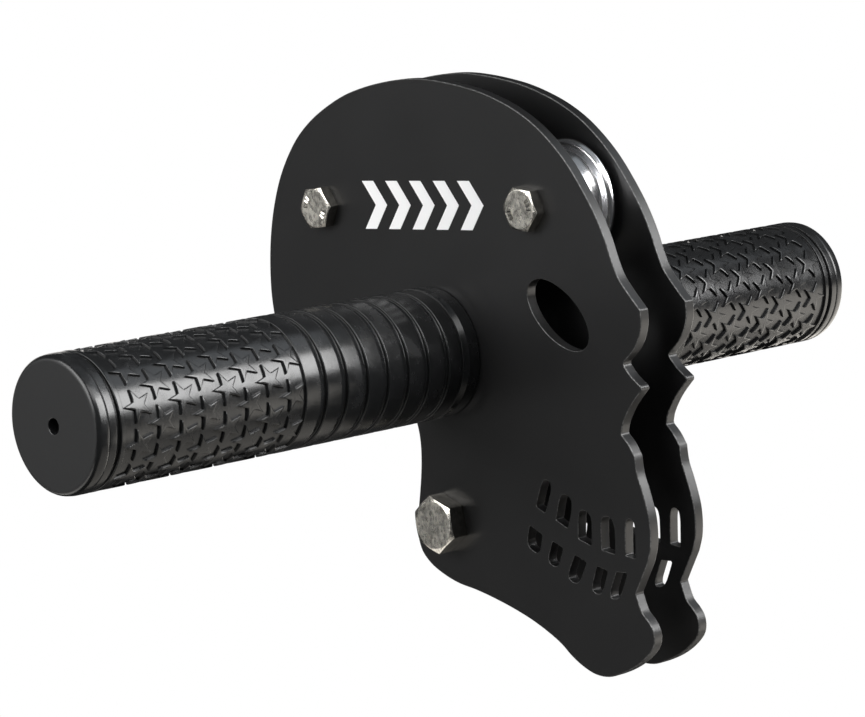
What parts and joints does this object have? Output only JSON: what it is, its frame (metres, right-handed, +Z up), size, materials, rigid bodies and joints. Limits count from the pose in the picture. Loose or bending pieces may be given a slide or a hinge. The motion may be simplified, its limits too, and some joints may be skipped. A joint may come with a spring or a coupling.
{
  "type": "zip line trolley",
  "caption": "Zip line trolley with skull-shaped steel side plates, grooved ball-bearing sheaves between them, a through handlebar with ribbed rubber grips, and a hanger bolt.",
  "frame": {"origin": "where the cable bears on the sheave grooves, midway between the two sheaves and midway between the side plates", "axes": "+X is the direction of travel and the way the skull faces, +Y runs along the handlebar towards the left grip, +Z is up"},
  "size_m": [0.1357, 0.2668, 0.1502],
  "materials": {
    "paint": "fine-textured matte black powder coat on laser-cut steel",
    "rubber": "moulded black grip rubber, satin",
    "stainless": "stainless fasteners, lightly scratched, bright chamfers",
    "polished": "turned and polished steel",
    "zinc": "zinc-plated steel tube, satin",
    "bearing": "ground bearing steel",
    "seal": "moulded black rubber seal",
    "nylon": "natural nylon"
  },
  "bodies": {
    "frame": {"right_side_plate": "paint", "left_side_plate": "paint", "handlebar_tube": "zinc", "handlebar_spacer": "zinc", "left_grip": "rubber", "right_grip": "rubber", "hanger_bolt": "stainless", "hanger_washer": "stainless", "hanger_nut": "stainless", "hanger_nut_insert": "nylon", "hanger_spacer": "zinc", "front_bearing_inner_race": "bearing", "front_axle_right_bush": "zinc", "front_axle_left_bush": "zinc", "front_axle_bolt": "stainless", "front_axle_washer": "stainless", "front_axle_nut": "stainless", "front_axle_nut_insert": "nylon", "rear_bearing_inner_race": "bearing", "rear_axle_right_bush": "zinc", "rear_axle_left_bush": "zinc", "rear_axle_bolt": "stainless", "rear_axle_washer": "stainless", "rear_axle_nut": "stainless", "rear_axle_nut_insert": "nylon"},
    "front_wheel": {"front_sheave": "polished", "front_bearing_outer_race": "bearing", "front_bearing_right_seal": "seal", "front_bearing_left_seal": "seal"},
    "front_ball_set": {"front_bearing_cage": "nylon", "front_bearing_ball_1": "bearing", "front_bearing_ball_2": "bearing", "front_bearing_ball_3": "bearing", "front_bearing_ball_4": "bearing", "front_bearing_ball_5": "bearing", "front_bearing_ball_6": "bearing", "front_bearing_ball_7": "bearing"},
    "rear_wheel": {"rear_sheave": "polished", "rear_bearing_outer_race": "bearing", "rear_bearing_right_seal": "seal", "rear_bearing_left_seal": "seal"},
    "rear_ball_set": {"rear_bearing_cage": "nylon", "rear_bearing_ball_1": "bearing", "rear_bearing_ball_2": "bearing", "rear_bearing_ball_3": "bearing", "rear_bearing_ball_4": "bearing", "rear_bearing_ball_5": "bearing", "rear_bearing_ball_6": "bearing", "rear_bearing_ball_7": "bearing"}
  },
  "joints": [
    {"name": "front_wheel_spin", "type": "hinge", "parent": "frame", "child": "front_wheel", "pos_m": [0.038, 0, 0.0118], "axis": [0, 1, 0], "continuous": true},
    {"name": "front_ball_set_spin", "type": "hinge", "parent": "frame", "child": "front_ball_set", "pos_m": [0.038, 0, 0.0118], "axis": [0, 1, 0], "continuous": true},
    {"name": "rear_wheel_spin", "type": "hinge", "parent": "frame", "child": "rear_wheel", "pos_m": [-0.038, 0, 0.0118], "axis": [0, 1, 0], "continuous": true},
    {"name": "rear_ball_set_spin", "type": "hinge", "parent": "frame", "child": "rear_ball_set", "pos_m": [-0.038, 0, 0.0118], "axis": [0, 1, 0], "continuous": true}
  ],
  "couplings": [
    {"joint": "front_ball_set_spin", "follows": "front_wheel_spin", "ratio": 0.6349},
    {"joint": "rear_ball_set_spin", "follows": "rear_wheel_spin", "ratio": 0.6349}
  ]
}
